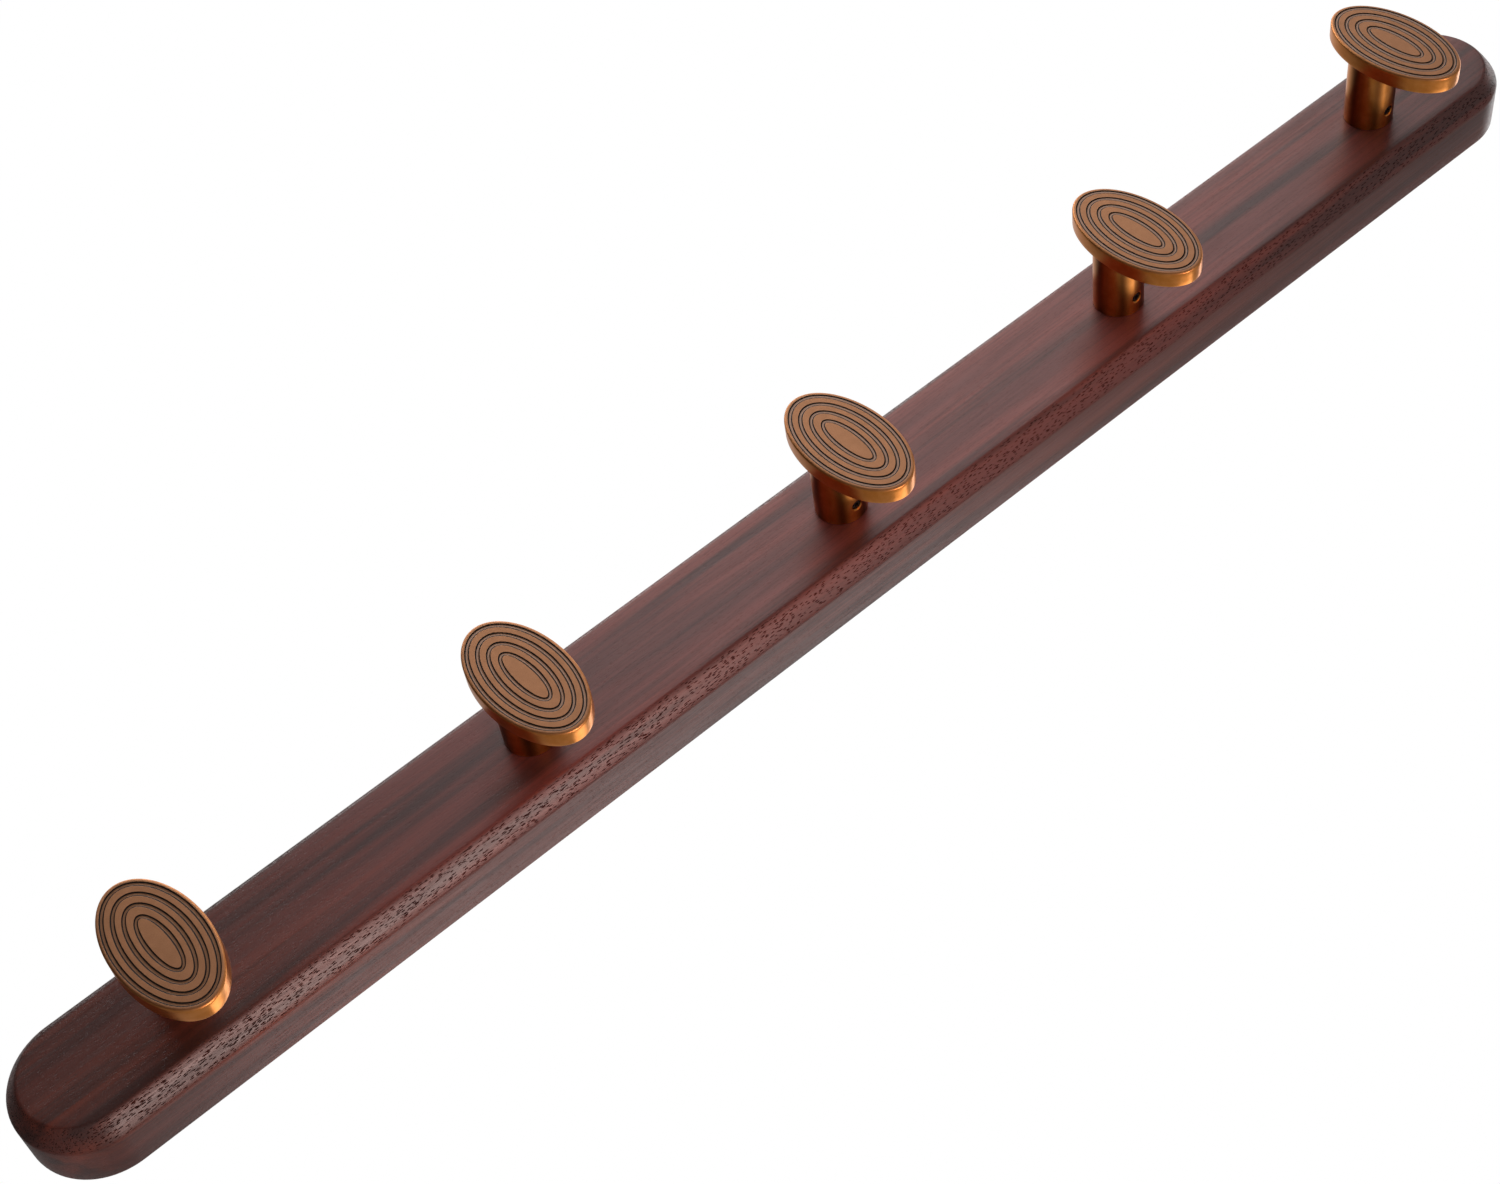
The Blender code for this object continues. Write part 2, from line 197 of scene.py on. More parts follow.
def walnut():
    """Dark walnut under a satin lacquer: straight figure along X, and open pores."""
    m = Material("walnut")
    drift = m.noise(m.stretched((3.0, 12.0, 12.0)), 2.0, colour=True)
    wander = m.stretched((0.0, 0.008, 0.008), m.shifted((-0.5, -0.5, -0.5), drift))
    grain = m.shifted(wander)

    broad = m.noise(m.stretched((3.0, 90.0, 90.0), grain), 2.0, 0.5)
    streaks = m.noise(m.stretched((5.0, 190.0, 190.0), grain), 3.0, 0.55)
    fibres = m.noise(m.stretched((40.0, 1900.0, 1900.0), grain), 2.0, 0.6)

    brown, red = (0.098, 0.027, 0.020), (0.160, 0.038, 0.023)
    deep_ruddy, light_ruddy = (0.165, 0.037, 0.030), (0.28, 0.060, 0.045)
    black = (0.026, 0.012, 0.011)
    pore_black = (0.012, 0.006, 0.005)
    band = m.attribute("edge_band")
    figure = m.stretch_range(broad, 0.35, 0.68)
    x, y, _ = m.axes()
    front = m.stretch_range(y, RAIL_FRONT + RUDDY_DEPTH[0], RAIL_FRONT + RUDDY_DEPTH[1], 1.0, 0.0)
    ruddy = m.maths("MULTIPLY", m.stretch_range(x, RUDDY_START, RUDDY_FULL), front)
    ruddy = m.maths("MULTIPLY", m.stretch_range(x, RUDDY_FADE, RUDDY_END, 1.0, 0.65), ruddy)
    ruddy = m.maths("MULTIPLY", m.stretch_range(band, 0.0, 1.0, 1.0, 0.7), ruddy)
    body = m.mix(figure, brown, red)
    body = m.mix(ruddy, body, m.mix(figure, deep_ruddy, light_ruddy))
    body = m.mix(m.stretch_range(streaks, 0.40, 0.68, 0.0, 0.74), body, black)
    body = m.mix(m.stretch_range(fibres, 0.38, 0.72, 0.0, 0.26), body, black)

    distance, chance = m.cells(m.stretched((500.0, 2500.0, 2500.0), grain))
    pore = m.stretch_range(distance, 0.26, 0.44, 1.0, 0.0)
    pore = m.maths("MULTIPLY", pore, m.stretch_range(chance, 0.20, 0.35))
    open_pores = m.maths("MULTIPLY", pore, m.stretch_range(band, 0.0, 1.0, 0.15, 1.0))
    body = m.mix(m.maths("MULTIPLY", open_pores, 0.65), body, pore_black)

    m.set("Base Color", body)
    sheen = m.stretch_range(fibres, 0.3, 0.7, 0.30, 0.42)
    m.set("Roughness", m.maths("ADD", sheen, m.maths("MULTIPLY", open_pores, 0.2)))
    relief = m.bump(fibres, 0.00003, 0.35)
    m.set("Normal", m.bump(open_pores, -0.00012, 0.8, relief))
    gloss = m.stretch_range(front, 0.0, 1.0, 0.40, 0.47)
    m.set("Specular IOR Level", m.maths("MULTIPLY", m.maths("SUBTRACT", 1.0, open_pores), gloss))
    return m.data


def antique_bronze():
    """Antique bronze: grained flats, bright edges, grooves with dark walls and a lacquered floor,
    painted reflection bands along the posts, and painted shade in the grub screw's hole.
    """
    m = Material("antique_bronze")
    flat = m.attribute("flat_face")
    patina_and_shade = m.attribute("patina_and_shade")
    painted_reflection = m.attribute("painted_reflection")
    cloud = m.noise(m.stretched((260.0, 260.0, 260.0)), 3.0, 0.6)
    grain = m.noise(m.stretched((4500.0, 4500.0, 4500.0)), 2.0, 0.6)

    patches = m.stretch_range(cloud, 0.3, 0.7)
    bright = m.mix(patches, (0.76, 0.255, 0.046), (0.86, 0.32, 0.076))
    # painted reflection: the bright bronze darkened in lengthwise bands, at the same bearings on
    # every post
    bright = m.mix(painted_reflection, bright, (0.075, 0.024, 0.008))
    satin = m.mix(patches, (0.37, 0.178, 0.090), (0.42, 0.203, 0.104))
    satin = m.mix(m.stretch_range(grain, 0.35, 0.65, 0.0, 0.55), satin, (0.26, 0.125, 0.066))
    colour = m.mix(flat, bright, satin)
    # near black where the grooves' patina is, and as painted shade inside the grub screw's hole
    m.set("Base Color", m.mix(patina_and_shade, colour, (0.010, 0.007, 0.006)))
    m.set("Metallic", m.stretch_range(patina_and_shade, 0.5, 1.0, 1.0, 0.3))
    m.set("Roughness", m.stretch_range(flat, 0.0, 1.0, 0.28, 0.58))
    m.set("Specular IOR Level", m.stretch_range(patina_and_shade, 0.5, 1.0, 0.5, 0.15))
    some_patina = m.stretch_range(patina_and_shade, 0.1, 0.35)
    not_too_much = m.stretch_range(patina_and_shade, 0.4, 0.8, 0.45, 0.0)
    m.set("Coat Weight", m.maths("MULTIPLY", some_patina, not_too_much))
    m.set("Coat Roughness", 0.12)
    m.set("Coat IOR", 1.7)
    m.set("Normal", m.bump(grain, 0.00001, m.stretch_range(flat, 0.0, 1.0, 0.1, 0.5)))
    return m.data


def black_steel():
    """Black-oxide steel, rubbed bright where it was handled."""
    m = Material("black_steel")
    cloud = m.noise(m.stretched((1500.0, 1500.0, 1500.0)), 3.0, 0.6)
    rubbed = m.stretch_range(cloud, 0.45, 0.75)
    m.set("Base Color", m.mix(rubbed, (0.030, 0.027, 0.026), (0.11, 0.09, 0.075)))
    m.set("Metallic", 0.9)
    m.set("Roughness", m.stretch_range(cloud, 0.3, 0.7, 0.25, 0.45))
    m.set("Normal", m.bump(cloud, 0.00002, 0.4))
    return m.data


def stud_brass():
    """Machined brass with fine turning marks round the stud's axis."""
    m = Material("stud_brass")
    marks = m.noise(m.stretched((60.0, 9000.0, 60.0)), 1.0)
    cloud = m.noise(m.stretched((500.0, 500.0, 500.0)), 3.0, 0.6)
    patches = m.stretch_range(cloud, 0.3, 0.7)
    m.set("Base Color", m.mix(patches, (0.72, 0.50, 0.20), (0.60, 0.40, 0.15)))
    m.set("Metallic", 1.0)
    m.set("Roughness", m.stretch_range(marks, 0.3, 0.7, 0.22, 0.38))
    m.set("Normal", m.bump(marks, 0.00002, 0.3))
    return m.data


def zinc_steel():
    """Bright zinc plate with a faint spangle."""
    m = Material("zinc_steel")
    _, chance = m.cells(m.stretched((900.0, 900.0, 900.0)))
    cloud = m.noise(m.stretched((220.0, 220.0, 220.0)), 4.0, 0.6)
    m.set("Base Color", m.mix(chance, (0.62, 0.63, 0.62), (0.74, 0.75, 0.76)))
    m.set("Metallic", 1.0)
    m.set("Roughness", m.stretch_range(cloud, 0.3, 0.7, 0.24, 0.40))
    m.set("Normal", m.bump(cloud, 0.00005, 0.2))
    return m.data


MATERIALS = {
    "walnut": walnut(),
    "antique_bronze": antique_bronze(),
    "black_steel": black_steel(),
    "stud_brass": stud_brass(),
    "zinc_steel": zinc_steel(),
}

# What each CAD node's name starts with, and its material
SLOTS = (
    ("rail", "walnut"),
    ("oval_head", "antique_bronze"),
    ("post", "antique_bronze"),
    ("grub_screw", "black_steel"),
    ("stud_screw", "zinc_steel"),
    ("hanger", "zinc_steel"),
    ("stud", "stud_brass"),
)


# ---------------------------------------------------------------- mesh building
def loft(rings, values=None):
    """A closed mesh through rings of points. A ring of one point closes an end.

    values gives each ring's value for each named attribute: {name: [one per ring]}.
    """
    body = bmesh.new()
    layers = {name: body.verts.layers.float.new(name) for name in (values or {})}
    made = []
    for number, ring in enumerate(rings):
        verts = [body.verts.new(point) for point in ring]
        for name, layer in layers.items():
            for vert in verts:
                vert[layer] = values[name][number]
        made.append(verts)
    for first, second in zip(made, made[1:]):
        count = max(len(first), len(second))
        for k in range(count):
            after = (k + 1) % count
            corners = [first[k % len(first)], first[after % len(first)]]
            corners += [second[after % len(second)], second[k % len(second)]]
            body.faces.new(list(dict.fromkeys(corners)))
    for end in (made[0], made[-1]):
        if len(end) > 1:
            body.faces.new(end)
    return body


def finished(body, name, sharp_angle=35.0):
    """A mesh from a bmesh, facing out and shaded smooth up to sharp_angle degrees."""
    bmesh.ops.recalc_face_normals(body, faces=body.faces[:])
    mesh = bpy.data.meshes.new(name)
    body.to_mesh(mesh)
    body.free()
    mesh.shade_smooth()
    mesh.set_sharp_from_angle(angle=math.radians(sharp_angle))
    return mesh


def arc(x, z, radius, start, end, steps):
    """(x, z) points of an arc, from one bearing in degrees to another."""
    points = []
    for k in range(steps + 1):
        turn = math.radians(start + (end - start) * k / steps)
        points.append((x + radius * math.cos(turn), z + radius * math.sin(turn)))
    return points


def round_ring(radius, y, segments=28):
    """A circle round the Y axis."""
    ring = []
    for k in range(segments):
        turn = TURN * k / segments
        ring.append(Vector((radius * math.cos(turn), y, radius * math.sin(turn))))
    return ring


def turned(profile, segments=64, values=None):
    """A solid turned about the Y axis from (radius, y) points. A radius of 0 closes an end."""
    rings = []
    for radius, y in profile:
        rings.append(round_ring(radius, y, segments) if radius else [Vector((0.0, y, 0.0))])
    return loft(rings, values)


def plain(body, name="cutter"):
    """A mesh from a bmesh, facing out."""
    return finished(body, name, 30.0)


def prism(outline, low, high):
    """A prism on a closed (x, z) outline, from one y to another."""
    return plain(loft([[Vector((x, y, z)) for x, z in outline] for y in (low, high)]))


def carved(mesh, cutters, sharp_angle=35.0):
    """The mesh with each cutter taken out of it."""
    holders = [bpy.data.objects.new("carving", mesh)]
    for cutter in cutters:
        holder = bpy.data.objects.new("cutter", cutter)
        holders.append(holder)
        modifier = holders[0].modifiers.new("cut", "BOOLEAN")
        modifier.operation = "DIFFERENCE"
        modifier.solver = "EXACT"
        modifier.object = holder
    for holder in holders:
        bpy.context.scene.collection.objects.link(holder)
    graph = bpy.context.evaluated_depsgraph_get()
    result = bpy.data.meshes.new_from_object(holders[0].evaluated_get(graph))
    for holder in holders:
        bpy.data.objects.remove(holder)
    result.materials.clear()
    result.shade_smooth()
    result.set_sharp_from_angle(angle=math.radians(sharp_angle))
    return result


def shifted_to(mesh, x, y, z):
    """The mesh itself, after a move."""
    mesh.transform(Matrix.Translation(Vector((x, y, z))))
    return mesh


def copied(mesh, name, x):
    """A copy of a mesh, moved along the rail."""
    copy = mesh.copy()
    copy.name = name
    return shifted_to(copy, x, 0.0, 0.0)


def add_piece(name, mesh, body, slot, *nodes):
    """Puts a mesh in the scene as the piece that stands for some CAD nodes."""
    piece = bpy.data.objects.new(name, mesh)
    bpy.context.scene.collection.objects.link(piece)
    if not mesh.materials:
        mesh.materials.append(MATERIALS[slot])
    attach(piece, body)
    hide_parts(*nodes)


# ---------------------------------------------------------------- rail
BAND_INSET = 4.6 * MM  # the front edge's bevel, measured across the front
BAND_DEPTH = 6.2 * MM  # and down the side
BAND_BULGE = 0.12 * MM  # how far its middle stands out
SOFT_EDGE = 0.9 * MM  # how far the bevel's two edges are rounded
BACK_EDGE = 0.8 * MM
CORNER_STEPS = 4
END_STEPS = 40
STRAIGHT_STEPS = 60


def stadium(inset, y):
    """The rail's outline, inset from its edge, at depth y."""
    radius = max(RAIL_RADIUS - inset, 0.0)
    straight = RAIL_HALF_LENGTH - RAIL_RADIUS
    points = []
    for side in (1, -1):
        for k in range(END_STEPS + 1):
            turn = math.pi / 2 - math.pi * k / END_STEPS
            x = side * (straight + radius * math.cos(turn))
            points.append(Vector((x, y, side * radius * math.sin(turn))))
        for k in range(1, STRAIGHT_STEPS):
            x = side * straight * (1 - 2 * k / STRAIGHT_STEPS)
            points.append(Vector((x, y, -side * radius)))
    return points


def rounded_corner(before, corner, after, reach):
    """Points of a soft corner between two straight stretches of a profile."""
    start = corner + (before - corner).normalized() * reach
    end = corner + (after - corner).normalized() * reach
    points = []
    for k in range(CORNER_STEPS + 1):
        t = k / CORNER_STEPS
        points.append(start * (1 - t) ** 2 + corner * 2 * t * (1 - t) + end * t ** 2)
    return points


def rail_profile():
    """(inset, y, band) from the middle of the back, round the edge, to the middle of the front."""
    back = Vector((RAIL_RADIUS, RAIL_BACK))
    back_corner = Vector((0.0, RAIL_BACK))
    side_corner = Vector((0.0, RAIL_FRONT + BAND_DEPTH))
    front_corner = Vector((BAND_INSET, RAIL_FRONT))
    front = Vector((RAIL_RADIUS, RAIL_FRONT))
    profile = [(RAIL_RADIUS * share, RAIL_BACK, 0.0) for share in (1.0, 0.75, 0.5, 0.25)]
    profile += [(*p, 0.0) for p in rounded_corner(back, back_corner, side_corner, BACK_EDGE)]
    for share in (0.33, 0.66):
        profile.append((0.0, RAIL_BACK + (side_corner.y - RAIL_BACK) * share, 0.0))
    soft = rounded_corner(back_corner, side_corner, front_corner, SOFT_EDGE)
    profile += [(*p, k / CORNER_STEPS) for k, p in enumerate(soft)]
    outward = Vector((-BAND_DEPTH, -BAND_INSET)).normalized()
    for share in (0.15, 0.3, 0.5, 0.7, 0.85):
        p = side_corner.lerp(front_corner, share)
        p += outward * BAND_BULGE * math.sin(math.pi * share)
        profile.append((*p, 1.0))
    soft = rounded_corner(side_corner, front_corner, front, SOFT_EDGE)
    profile += [(*p, 1 - k / CORNER_STEPS) for k, p in enumerate(soft)]
    for share in (0.35, 0.5, 0.65, 0.8, 0.9, 1.0):
        profile.append((RAIL_RADIUS * share, RAIL_FRONT, 0.0))
    return profile


def make_rail():
    profile = rail_profile()
    rings = [stadium(max(inset, 0.0), y) for inset, y, _ in profile]
    body = loft(rings, {"edge_band": [band for _, _, band in profile]})
    bmesh.ops.remove_doubles(body, verts=body.verts[:], dist=1e-6)
    mesh = carved(finished(body, "rail_board", 50.0), rail_cutters(), 50.0)
    mesh.name = "rail_board"
    add_piece("rail_board", mesh, "wall_side", "walnut", "rail")


# ---------------------------------------------------------------- knobs
OVAL_STEPS = 160
RIM_ROUND = 0.8 * MM
RIM_BACK = 0.35 * MM
GROOVE_HALF_HEIGHTS = (23.0, 19.4, 15.5, 11.0)  # of the ovals that the grooves follow, in mm
GROOVE_HALF_WIDTH = 12.2  # of the outermost one, in mm
GROOVE_WIDTH_STEP = 2.93
SOCKET_RADIUS = 4.8 * MM  # the hole in the head's back for the post's tenon
SOCKET_DEPTH = 2.9 * MM
# One side of a groove in mm, from outside it inward: distance from its middle, depth, patina
GROOVE_SIDE = (
    (0.84, 0.000, 0.0),
    (0.76, 0.000, 0.0),
    (0.73, 0.010, 1.0),
    (0.68, 0.070, 1.0),
    (0.60, 0.115, 1.0),
    (0.50, 0.147, 1.0),
    (0.36, 0.174, 1.0),
    (0.29, 0.184, 0.38),
    (0.15, 0.196, 0.38),
)
GROOVE_MIDDLE = (0.0, 0.200, 0.38)
GROOVE_SECTION = [(-across, deep, dark) for across, deep, dark in GROOVE_SIDE]
GROOVE_SECTION += [GROOVE_MIDDLE, *reversed(GROOVE_SIDE)]


def oval(half_width, half_height, y):
    points = []
    for k in range(OVAL_STEPS):
        turn = TURN * k / OVAL_STEPS
        x, z = half_width * math.cos(turn), half_height * math.sin(turn)
        points.append(Vector((x, y, HEAD_CENTRE_Z + z)))
    return points


def rim_oval(inset, y):
    return oval(HEAD_SHORT - inset, HEAD_LONG - inset, y)


def circle(radius, y, like):
    """A circle round the post's axis, with its points at the same bearings as another ring."""
    points = []
    for p in like:
        turn = math.atan2(p.z - HEAD_CENTRE_Z, p.x)
        points.append(Vector((radius * math.cos(turn), y, radius * math.sin(turn))))
    return points


def head_rings():
    """Rings from the tenon's hole at the back, round the rim, to the middle of the front."""
    rings, patina_and_shade, flat = [], [], []

    def add(ring, dark, level):
        rings.append(ring)
        patina_and_shade.append(dark)
        flat.append(level)

    rim = rim_oval(RIM_BACK, HEAD_BACK)
    hole = circle(SOCKET_RADIUS, HEAD_BACK, rim)
    socket_floor = HEAD_BACK - SOCKET_DEPTH
    add([Vector((0.0, socket_floor, 0.0))], 0.6, 0.0)
    add(circle(SOCKET_RADIUS, socket_floor, rim), 0.8, 0.0)
    for share in (0.0, 0.2, 0.4, 0.6, 0.8, 1.0):
        add([p.lerp(q, share) for p, q in zip(hole, rim)], 0.0, 0.0)
    for k in range(1, 5):
        turn = math.pi / 2 * k / 4
        inset = RIM_BACK * (1 - math.sin(turn))
        add(rim_oval(inset, HEAD_BACK - RIM_BACK * (1 - math.cos(turn))), 0.0, 0.0)
    wall_back, wall_front = HEAD_BACK - RIM_BACK, HEAD_FRONT + RIM_ROUND
    for share in (0.35, 0.7):
        add(rim_oval(0.0, wall_back + (wall_front - wall_back) * share), 0.0, 0.0)
    for k in range(7):
        turn = math.pi / 2 * k / 6
        inset = RIM_ROUND * (1 - math.cos(turn))
        add(rim_oval(inset, HEAD_FRONT + RIM_ROUND * (1 - math.sin(turn))), 0.0, k / 6)
    for number, tall in enumerate(GROOVE_HALF_HEIGHTS):
        wide = GROOVE_HALF_WIDTH - GROOVE_WIDTH_STEP * number
        for across, deep, dark in GROOVE_SECTION:
            ring = oval((wide - across) * MM, (tall - across) * MM, HEAD_FRONT + deep * MM)
            add(ring, dark, 1.0)
    edge = rings[-1]
    centre = Vector((0.0, HEAD_FRONT, HEAD_CENTRE_Z))
    for share in (0.3, 0.6, 0.85):
        add([p.lerp(centre, share) for p in edge], 0.0, 1.0)
    add([centre], 0.0, 1.0)
    return rings, {"patina_and_shade": patina_and_shade, "flat_face": flat}


def make_head_mesh():
    rings, values = head_rings()
    body = loft(rings, values)
    return finished(body, "oval_head", 50.0)


TENON_RADIUS = 4.5 * MM
TENON_LENGTH = 2.6 * MM
TENON_EDGE = 0.2 * MM
POST_EDGE = 0.25 * MM
BORE_RADIUS = 5.3 * MM
BORE_EDGE = 0.3 * MM
BORE_DEPTH = 16.0 * MM
BORE_END = 17.5 * MM  # with the drill's cone
GRUB_REACH = 2.4 * MM  # how far the hole's shading reaches along the post

# Lengthwise dark bands painted on a post as painted reflections: bearing and spread in degrees, and
# depth
POST_PAINTED_REFLECTIONS = (
    (20, 26, 0.7),
    (100, 22, 0.6),
    (178, 17, 0.85),
    (234, 13, 0.75),
    (291, 22, 0.9),
)


def make_post_mesh():
    """A sleeve with a tenon at the head's end and a bore for the stud at the rail's."""
    base, top = RAIL_FRONT, HEAD_BACK
    profile = [
        (0.0, top - TENON_LENGTH),
        (TENON_RADIUS - TENON_EDGE, top - TENON_LENGTH),
        (TENON_RADIUS, top - TENON_LENGTH + TENON_EDGE),
        (TENON_RADIUS, top),
        (POST_RADIUS - POST_EDGE, top),
        (POST_RADIUS, top + POST_EDGE),
        (POST_RADIUS, GRUB_Y - GRUB_REACH),
        (POST_RADIUS, GRUB_Y + GRUB_REACH),
        (POST_RADIUS, base - POST_EDGE),
        (POST_RADIUS - POST_EDGE, base),
        (BORE_RADIUS + BORE_EDGE, base),
        (BORE_RADIUS, base - BORE_EDGE),
        (BORE_RADIUS, base - BORE_DEPTH),
        (0.0, base - BORE_END),
    ]
    body = turned(profile, 96)
    for name in ("patina_and_shade", "flat_face"):
        body.verts.layers.float.new(name)
    # painted reflection bands, set by bearing round the post
    painted_reflection = body.verts.layers.float.new("painted_reflection")
    for vert in body.verts:
        vert[painted_reflection] = painted_reflection_at(math.degrees(math.atan2(vert.co.z, vert.co.x)) % 360)
    return finished(body, "post", 30.0)


def round_normals(mesh):
    """Shades the post's wall as the cylinder it is, also round the grub screw's hole."""
    normals = [Vector(corner.vector) for corner in mesh.corner_normals]
    for face in mesh.polygons:
        from_axis = math.hypot(face.center.x, face.center.z)
        if abs(face.normal.y) > 0.05 or from_axis < POST_RADIUS - 0.1 * MM:
            continue
        for loop in face.loop_indices:
            at = mesh.vertices[mesh.loops[loop].vertex_index].co
            normals[loop] = Vector((at.x, 0.0, at.z)).normalized()
    mesh.normals_split_custom_set(normals)


def painted_reflection_at(bearing):
    """How dark the painted reflection bands along the post are, at a bearing in degrees round its
    axis.
    """
    total = 0.0
    for centre, spread, depth in POST_PAINTED_REFLECTIONS:
        apart = (bearing - centre + 180) % 360 - 180
        total += depth * math.exp(-((apart / spread) ** 2))
    return min(total, 1.0)


def make_grub_hole():
    """A round hole up into the post's underside, a little broken at its mouth, painted dark inside
    and at its mouth as painted shade.
    """
    radius = GRUB_RADIUS + 0.3 * MM
    mouth = POST_RADIUS - 0.25 * MM
    profile = [
        (0.0, 1.0 * MM),
        (radius, 1.0 * MM),
        (radius, mouth - 0.2 * MM),
        (radius + 0.15 * MM, mouth),
        (radius + 1.0 * MM, POST_RADIUS + 1.0 * MM),
        (0.0, POST_RADIUS + 1.0 * MM),
    ]
    # painted shade: the hole's walls and broken mouth painted near black
    values = {"patina_and_shade": [0.95] * len(profile), "flat_face": [0.0] * len(profile)}
    mesh = plain(turned(profile, 40, values))
    mesh.transform(Matrix.Rotation(-math.pi / 2, 4, "X"))
    return shifted_to(mesh, 0.0, GRUB_Y, 0.0)


def thread_rings(crest, root, pitch, start, end, point, segments=28):
    """Rings of a helical thread along +Y, tapering to nothing over the length of its point."""
    rings = []
    count = math.ceil((end - start) / pitch * 8)
    for step in range(count):
        y = start + (end - start) * step / count
        taper = min(1.0, (end - y) / point) if point else 1.0
        ring = []
        for k in range(segments):
            share = (y / pitch - k / segments) % 1.0
            ridge = max(0.0, 1.0 - abs(share - 0.5) * 3.2)
            radius = (root + (crest - root) * ridge) * taper
            turn = TURN * k / segments
            ring.append(Vector((radius * math.cos(turn), y, radius * math.sin(turn))))
        rings.append(ring)
    return rings


def wood_screw(name, head, shank, length):
    """A countersunk screw with a cross recess. Its head is at y = 0 and its point along +Y."""
    cone = head - shank
    rings = [
        [Vector((0.0, 0.0, 0.0))],
        round_ring(head * 0.6, 0.0),
        round_ring(head - 0.08 * MM, 0.0),
        round_ring(head, 0.06 * MM),
        round_ring(head, 0.14 * MM),
        round_ring(shank * 0.78, cone),
        round_ring(shank * 0.78, cone + 1.0 * MM),
    ]
    start = cone + 1.1 * MM
    rings += thread_rings(shank, shank * 0.72, shank * 1.05, start, length - 0.1 * MM, 3.2 * shank)
    rings.append([Vector((0.0, length, 0.0))])
    screw = finished(loft(rings), name, 40.0)
    wide, deep = 0.36 * head, 0.55 * head
    cutters = []
    for turn in (0.0, math.pi / 2):
        sides = ((0.62 * head, wide / 2, -0.3 * MM), (0.24 * head, wide / 3, deep))
        rings = []
        for along, across, y in sides:
            corners = ((1, 1), (-1, 1), (-1, -1), (1, -1))
            rings.append([Vector((i * along, y, j * across)) for i, j in corners])
        blade = plain(loft(rings))
        blade.transform(Matrix.Rotation(turn, 4, "Y"))
        cutters.append(blade)
    return carved(screw, cutters)


def grub_screw():
    """A headless screw with a hexagon socket. Its open end is at y = 0, and it runs along +Y."""
    length = GRUB_HIGH.z - GRUB_LOW.z
    root = GRUB_RADIUS - 0.22 * MM
    rings = [[Vector((0.0, 0.0, 0.0))], round_ring(root * 0.8, 0.0, 40), round_ring(root, 0.0, 40)]
    pitch, start, end = 0.5 * MM, 0.15 * MM, length - 0.2 * MM
    rings += thread_rings(GRUB_RADIUS, root, pitch, start, end, 0.0, 40)
    rings += [round_ring(root, length, 40), [Vector((0.0, length, 0.0))]]
    screw = finished(loft(rings), "grub_screw", 40.0)
    hexagon = [round_ring(0.87 * MM, y, 6) for y in (-0.5 * MM, 1.2 * MM)]
    hexagon.append([Vector((0.0, 1.5 * MM, 0.0))])
    return carved(screw, [plain(loft(hexagon))])


def make_stud():
    """The boss inside the post: chamfered, countersunk and ringed where the grub screw bites."""
    radius = (STUD_HIGH.x - STUD_LOW.x) / 2
    front, back = STUD_LOW.y, STUD_HIGH.y
    edge = 0.3 * MM
    sink, hole = 4.35 * MM, 2.1 * MM  # radii of the countersink's mouth and of the screw's hole
    dent, dent_half, dent_slope = 0.12 * MM, 1.4 * MM, 0.2 * MM
    profile = [
        (sink, front),
        (radius - edge, front),
        (radius, front + edge),
        (radius, GRUB_Y - dent_half - dent_slope),
        (radius - dent, GRUB_Y - dent_half),
        (radius - dent, GRUB_Y + dent_half),
        (radius, GRUB_Y + dent_half + dent_slope),
        (radius, back),
        (hole, back),
        (hole, front + sink - hole),
    ]
    segments = 64
    body = bmesh.new()
    made = [[body.verts.new(p) for p in round_ring(r, y, segments)] for r, y in profile]
    for first, second in zip(made, made[1:] + made[:1]):
        for k in range(segments):
            after = (k + 1) % segments
            body.faces.new((first[k], first[after], second[after], second[k]))
    return finished(body, "stud_boss", 30.0)


def make_knobs():
    head = make_head_mesh()
    post = carved(make_post_mesh(), [make_grub_hole()], 30.0)
    round_normals(post)
    stud = make_stud()
    grub = grub_screw()
    grub.transform(Matrix.Rotation(math.pi / 2, 4, "X"))
    shifted_to(grub, 0.0, GRUB_Y, GRUB_LOW.z)
    length = STUD_SCREW_HIGH.y - STUD_SCREW_LOW.y
    screw = wood_screw("stud_wood_screw", STUD_SCREW_RADIUS, STUD_SCREW_RADIUS / 2, length)
    shifted_to(screw, 0.0, STUD_SCREW_LOW.y, 0.0)
    for i in HOOK_NUMBERS:
        kinds = (
            ("ringed_head", head, f"knob_{i}", "antique_bronze", "oval_head"),
            ("round_post", post, f"knob_{i}", "antique_bronze", "post"),
            ("socket_grub", grub, f"grub_{i}", "black_steel", "grub_screw"),
            ("stud_boss", stud, "wall_side", "stud_brass", "stud"),
            ("stud_wood_screw", screw, "wall_side", "zinc_steel", "stud_screw"),
        )
        for kind, mesh, body, slot, node in kinds:
            name = f"{kind}_{i}"
            add_piece(name, copied(mesh, name, HOOK_X[i]), body, slot, f"{node}_{i}")


# ---------------------------------------------------------------- hangers
KEYHOLE_RADIUS = 4.75 * MM
KEYHOLE_CENTRE = -5.5 * MM  # Z
SLOT_RADIUS = 2.6 * MM
SLOT_TOP = 6.0 * MM  # Z of the slot's round end
PLATE_CORNER = 3.0 * MM
PLATE_EDGE = 0.12 * MM
POCKET_RADIUS = 5.5 * MM
POCKET_DEPTH = 9.0 * MM
ROOM = 0.3 * MM  # round what goes into the wood or through a plate


def rounded_rectangle(x, half_width, half_height, corner):
    """(x, z) points of a rectangle with round corners."""
    points = []
    for i, j, start in ((1, 1, 0), (-1, 1, 90), (-1, -1, 180), (1, -1, 270)):
        centre = (x + i * (half_width - corner), j * (half_height - corner))
        points += arc(*centre, corner, start, start + 90, 8)
    return points


